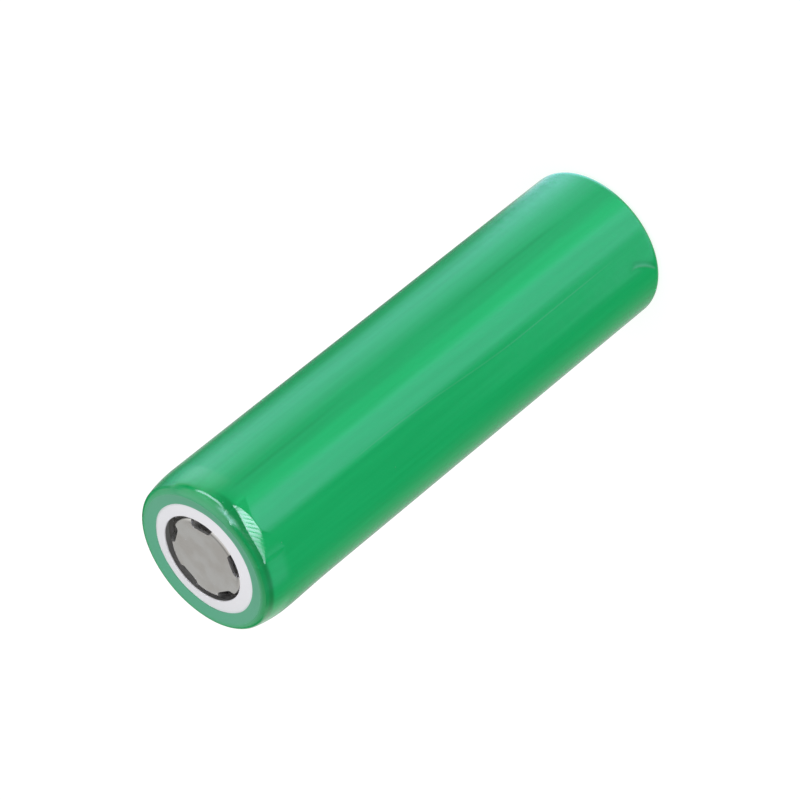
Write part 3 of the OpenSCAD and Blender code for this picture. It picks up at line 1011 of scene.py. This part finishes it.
vent_lo, vent_hi = (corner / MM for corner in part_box("vent_disc"))
dish_z = vent_hi.z - VENT_DROP
vent_line = bent([(0, dish_z), (WELD_R, dish_z), (DISH_R, vent_hi.z), (vent_hi.x, vent_hi.z)],
                 [0, DISH_BEND, DISH_BEND, 0])
vent_loop = sheet_outline(spaced(vent_line, lambda p: VENT_STEP), -VENT)
top_face = vent_loop[:, 1] > vent_hi.z - 2 * SLACK
vent_loop[:, 1] -= np.where(top_face, SCORE_DEPTH * hump(vent_loop[:, 0] - SCORE_R, SCORE_W), 0)
vent = lathe("vent_diaphragm", vent_loop, VENT_COLUMNS)
travel = next(j for j in frame["joints"] if j["name"] == "interrupter_trip")["range_m"][1] / MM
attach(vent, "cell")
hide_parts("vent_disc")
1 - travel / (vent_hi.z - vent_lo.z)
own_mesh(vent)
print("vent disc flattens by", f"{travel:.1f} mm")

# %% [markdown]
# ## Finishes
#
# Each finish is one Principled shader. What is the same all over the piece is set on the shader itself, and
# what varies is painted by noises measured in millimetres on the object, so no piece needs an unwrapped map.

# %% Finish helpers
def finish(name, constants, paint):
    """A material on one shader: constants set on its sockets, and what paint(sheet) gives linked to them."""
    material = bpy.data.materials.new(name)
    material.use_nodes = True
    sheet = NodeSheet(material.node_tree)
    shader = sheet.add("ShaderNodeBsdfPrincipled", {}, {**constants, **paint(sheet)})
    sheet.add("ShaderNodeOutputMaterial", {}, {"Surface": shader}, None)
    return material


def dress(piece, material):
    """Gives a piece one material all over."""
    piece.data.materials.clear()
    piece.data.materials.append(material)


def spot(sheet):
    """Place on the cell, in mm."""
    place = sheet.add("ShaderNodeTexCoord", output="Object")
    return sheet.add("ShaderNodeVectorMath", {"operation": "SCALE"}, {0: place, "Scale": 1 / MM})


def stretched(sheet, vector, scale):
    """A place scaled by its own amount along each axis."""
    return sheet.add("ShaderNodeVectorMath", {"operation": "MULTIPLY"}, {0: vector, 1: scale})


def noise(sheet, vector, scale, detail=2.0, roughness=0.5):
    return sheet.add("ShaderNodeTexNoise", {},
                     {"Vector": vector, "Scale": scale, "Detail": detail, "Roughness": roughness})


def blended(sheet, share, a, b):
    """Colour between a and b."""
    ends = [value if isinstance(value, Wire) else (*value, 1) for value in (a, b)]
    return sheet.add("ShaderNodeMix", {"data_type": "RGBA"}, {0: share, 6: ends[0], 7: ends[1]}, 2)


def bump(sheet, height, distance):
    """Normals of a surface whose relief is height times distance, in mm."""
    return sheet.add("ShaderNodeBump", {}, {"Height": height, "Distance": distance * MM})


print("finish helpers ready")

# %% [markdown]
# ### Film
#
# Dyed shrink film is deep green and glossy, with fine streaks along the cell from the way the tube was drawn.
# A pale line is painted along the edge of a reflected band on its front, a darker broken trace runs along the
# front too, and a few specks of dust are caught under it. Shade is painted into the fold beside the rim, and
# highlights in the wedge under the rim and along the crease. On its folded faces and beside the rim the film
# is paler and duller.

# %% Film finish
FILM_DEEP = (0.0042, 0.372, 0.104)
FILM_BRIGHT = (0.0068, 0.462, 0.138)
# darker green for the painted shade in the fold and beside the crease, and for the dark trace
FILM_DARKER = (0.003, 0.238, 0.063)
# paler green for the folded faces and the rim, for the painted highlights and for dust
FILM_PALE = (0.110, 0.412, 0.264)
SCORE_PITCH = 0.5
SCORE_SLANT = 0.125
SCORE_CREST = (0.2, 0.9)
# a pale line painted as a highlight along the edge of the front band's reflection
BAND_EDGE_HIGHLIGHT = {"start": -17.5, "wander": 6.5, "wander_z": (22, 44), "half": 0.4, "ease": 0.6,
        "heights": (9, 46), "fade": 8}
TRACE = {"start": 27.5, "wander": -3, "wander_z": (20, 44), "half": 1.2, "ease": 2.4,
         "heights": (10, 61), "fade": 6}
TRACE_GAP = (24, 46, 12)
DUST_SCALE = 0.35
DUST_SIZE = (0.012, 0.025)


def long_line(sheet, turn, z, start, wander, wander_z, half, ease, heights, fade):
    """A soft line up the film, which starts at one turn and wanders to another between two heights."""
    aside = turn - start - soft_step(sheet, z, *wander_z) * wander
    return soft_span(sheet, aside, -half, half, ease) * soft_span(sheet, z, *heights, fade)


def film_paint(sheet):
    place = spot(sheet)
    streaks = noise(sheet, stretched(sheet, place, (1, 1, 0.04)), 1.5, 3.0)
    peel = noise(sheet, place, 0.9, 2.0)
    hollow, drawn, scored = [sheet.add("ShaderNodeAttribute", {"attribute_name": name}, output="Fac")
                             for name in ("hollow", "drawn", "scored")]
    x, y, z = split(sheet, place)
    turn = turn_from_front(x, y)
    wave = z.maths("SINE", (z - turn * SCORE_SLANT) * (2 * math.pi / SCORE_PITCH))
    scores = soft_step(sheet, wave, *SCORE_CREST) * scored
    band_edge_highlight = long_line(sheet, turn, z, **BAND_EDGE_HIGHLIGHT) * streaks
    trace = long_line(sheet, turn, z, **TRACE) * (1 - soft_span(sheet, z, *TRACE_GAP))
    dust = sheet.add("ShaderNodeTexVoronoi", {}, {"Vector": place, "Scale": DUST_SCALE}, "Distance")
    specks = 1 - soft_step(sheet, dust, *DUST_SIZE)
    green = blended(sheet, streaks, FILM_DEEP, FILM_BRIGHT)
    # painted shade in the fold and beside the crease, then the dark trace
    green = blended(sheet, hollow + trace * 0.3, green, FILM_DARKER)
    # paler on the folded faces and rim, painted highlights in the wedge, along the crease and at a band's
    # edge, and dust
    return {"Base Color": blended(sheet, drawn * 0.9 + band_edge_highlight * 0.55 + specks * 0.6, green, FILM_PALE),
            "Roughness": 0.12 + drawn * 0.18 + streaks * 0.05 + scores * 0.22,
            "Normal": bump(sheet, streaks * 0.5 + peel + specks * 3 - scores * 0.6, 0.006)}


film_green = finish("film_green", {"IOR": 1.5}, film_paint)
dress(sleeve, film_green)
print("film finish on", sleeve.name)

# %% [markdown]
# ### Paper
#
# The washer's paper is white with a faint cool cast, slightly fibrous, and matt.

# %% Paper finish
PAPER_DULL = (0.825, 0.818, 0.858)
PAPER_BRIGHT = (0.88, 0.872, 0.905)


def paper_paint(sheet):
    place = spot(sheet)
    fibre = noise(sheet, place, 2.6, 4.0, 0.6)
    cloud = noise(sheet, place, 0.4, 1.0)
    return {"Base Color": blended(sheet, fibre * 0.5 + cloud * 0.5, PAPER_DULL, PAPER_BRIGHT),
            "Normal": bump(sheet, fibre, 0.012)}


paper_white = finish("paper_white", {"Roughness": 0.75, "Specular IOR Level": 0.2}, paper_paint)
dress(washer, paper_white)
print("paper finish on", washer.name)

# %% [markdown]
# ### Nickel plate
#
# Plated steel keeps the fine rolling lines of its sheet under a soft grey shine, with faint warm patches
# where it was handled. The upright walls of the windows were torn by the punch, so they are bare and dull.
# Their dark colour is partly bare steel and partly painted shade, for the shadow inside the windows. They are
# told apart by the direction that they face.

# %% Nickel finish
NICKEL_DULL = (0.58, 0.575, 0.553)
NICKEL_BRIGHT = (0.64, 0.635, 0.612)
NICKEL_HANDLED = (0.555, 0.537, 0.505)
# bare cut steel, darkened further as painted shade for the shadow inside the windows
CUT_STEEL_AND_SHADE = (0.24, 0.245, 0.26)
PATCH_EDGE = (0.35, 0.65)
UPRIGHT = (0.08, 0.25)


def nickel_paint(sheet):
    place = spot(sheet)
    lines = noise(sheet, stretched(sheet, place, (0.25, 5.0, 1.0)), 1.6, 3.0)
    patch = soft_step(sheet, noise(sheet, place, 0.42, 2.0), *PATCH_EDGE)
    facing = split(sheet, sheet.add("ShaderNodeNewGeometry", output="Normal"))[2]
    # upright faces: bare cut steel, with painted shade for the shadowed windows
    punched_and_shaded = 1 - soft_step(sheet, facing.maths("ABSOLUTE", facing), *UPRIGHT)
    grey = blended(sheet, lines, NICKEL_DULL, NICKEL_BRIGHT)
    grey = blended(sheet, patch, grey, NICKEL_HANDLED)
    return {"Base Color": blended(sheet, punched_and_shaded * 0.75, grey, CUT_STEEL_AND_SHADE),
            "Metallic": 1 - punched_and_shaded * 0.4,
            "Roughness": 0.13 + lines * 0.06 + patch * 0.03 + punched_and_shaded * 0.35,
            "Normal": bump(sheet, lines, 0.002)}


nickel = finish("nickel", {}, nickel_paint)
dress(cap, nickel)
dress(can, nickel)
print("nickel finish on", cap.name, can.name)

# %% [markdown]
# ### Inner pieces
#
# The pieces inside stay as the solids made them, all but the vent disc, and each takes the finish of its own
# stuff: moulded plastic, stamped aluminium, coated foil, porous film, tape and fibre board. They share two
# ways of painting: a grain, which may be drawn out along one direction, and a weave.

# %% Ways of painting
def grain_paint(dark, light, scale, stretch=(1, 1, 1), rough=(0.5, 0.6), relief=0.004):
    """Colour, gloss and fine relief from one noise, which may be drawn out along a direction."""
    def paint(sheet):
        grain = noise(sheet, stretched(sheet, spot(sheet), stretch), scale, 4.0, 0.6)
        return {"Base Color": blended(sheet, grain, dark, light),
                "Roughness": rough[0] + grain * (rough[1] - rough[0]),
                "Normal": bump(sheet, grain, relief)}
    return paint


def weave_paint(dark, light, pitch):
    """Two crossed sets of threads, as in fibre board."""
    def paint(sheet):
        x, y, _ = split(sheet, spot(sheet))
        across = x.maths("SINE", x * (2 * math.pi / pitch))
        along = y.maths("SINE", y * (2 * math.pi / pitch))
        threads = across * along * 0.5 + 0.5
        return {"Base Color": blended(sheet, threads, dark, light),
                "Roughness": 0.45 + threads * 0.15,
                "Normal": bump(sheet, threads, 0.01)}
    return paint


print("ways of painting ready")

# %% Inner finishes
EVEN = (1, 1, 1)
ROLLED = (0.2, 6.0, 1.0)
DRAWN_UP = (4.0, 4.0, 0.15)
# material, constants, way of painting, nodes that wear it
INNER = [
    ("gasket_grey", {}, grain_paint((0.24, 0.241, 0.243), (0.31, 0.311, 0.313), 1.5), ["gasket"]),
    ("ptc_grey", {"Metallic": 0.4}, grain_paint((0.34, 0.34, 0.34), (0.44, 0.44, 0.44), 4.0), ["ptc_ring"]),
    ("aluminium", {"Metallic": 0.7},
     grain_paint((0.76, 0.76, 0.76), (0.86, 0.86, 0.85), 1.2, (1, 3, 1), (0.35, 0.5)),
     ["contact_disc", "contact_slug"]),
    ("spacer_natural", {}, grain_paint((0.62, 0.52, 0.36), (0.74, 0.63, 0.46), 1.0), ["cid_spacer"]),
    ("strip_aluminium", {"Metallic": 1.0},
     grain_paint((0.70, 0.70, 0.69), (0.82, 0.82, 0.81), 1.5, ROLLED, (0.25, 0.4)), ["positive_tab"]),
    ("strip_nickel", {"Metallic": 1.0},
     grain_paint((0.46, 0.44, 0.40), (0.58, 0.56, 0.52), 1.5, ROLLED, (0.25, 0.4)), ["negative_tab"]),
    ("amber_film", {"Coat Roughness": 0.1},
     grain_paint((0.62, 0.29, 0.035), (0.76, 0.40, 0.07), 0.6, (1, 1, 0.5), (0.15, 0.3)),
     ["positive_tab_tape", "winding_tape"]),
    ("fibre_board", {}, weave_paint((0.46, 0.26, 0.11), (0.60, 0.37, 0.18), 0.5),
     ["upper_insulator", "lower_insulator"]),
    ("oxide_coating", {},
     grain_paint((0.018, 0.018, 0.020), (0.036, 0.037, 0.040), 6.0, EVEN, (0.7, 0.9)), ["cathode_sheet"]),
    ("graphite_coating", {},
     grain_paint((0.030, 0.029, 0.028), (0.060, 0.058, 0.056), 5.0, EVEN, (0.5, 0.7)), ["anode_sheet"]),
    ("porous_film", {}, grain_paint((0.80, 0.80, 0.79), (0.88, 0.88, 0.87), 3.0, (1, 1, 0.2), (0.4, 0.55)),
     ["inner_separator", "outer_separator"]),
    ("rolled_steel", {"Metallic": 1.0},
     grain_paint((0.42, 0.42, 0.42), (0.55, 0.55, 0.54), 1.5, DRAWN_UP, (0.3, 0.45)), ["centre_pin"]),
]
for name, constants, paint, nodes in INNER:
    stuff = finish(name, constants, paint)
    for node in nodes:
        dress(frame["nodes"][node], stuff)
    if name == "aluminium":
        dress(vent, stuff)
print("inner finishes", len(INNER))

# %% [markdown]
# ## Sizes
#
# The looks must not change the cell's size, so the box of the solids and the box of the dressed cell are
# written side by side.

# %% Sizes and finish
size = {"cad": [list(corner) for corner in cad_box], "visual": [list(corner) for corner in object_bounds()]}
for name, (low, high) in size.items():
    print(name, " x ".join(f"{(b - a) / MM:.2f}" for a, b in zip(low, high)), "mm")
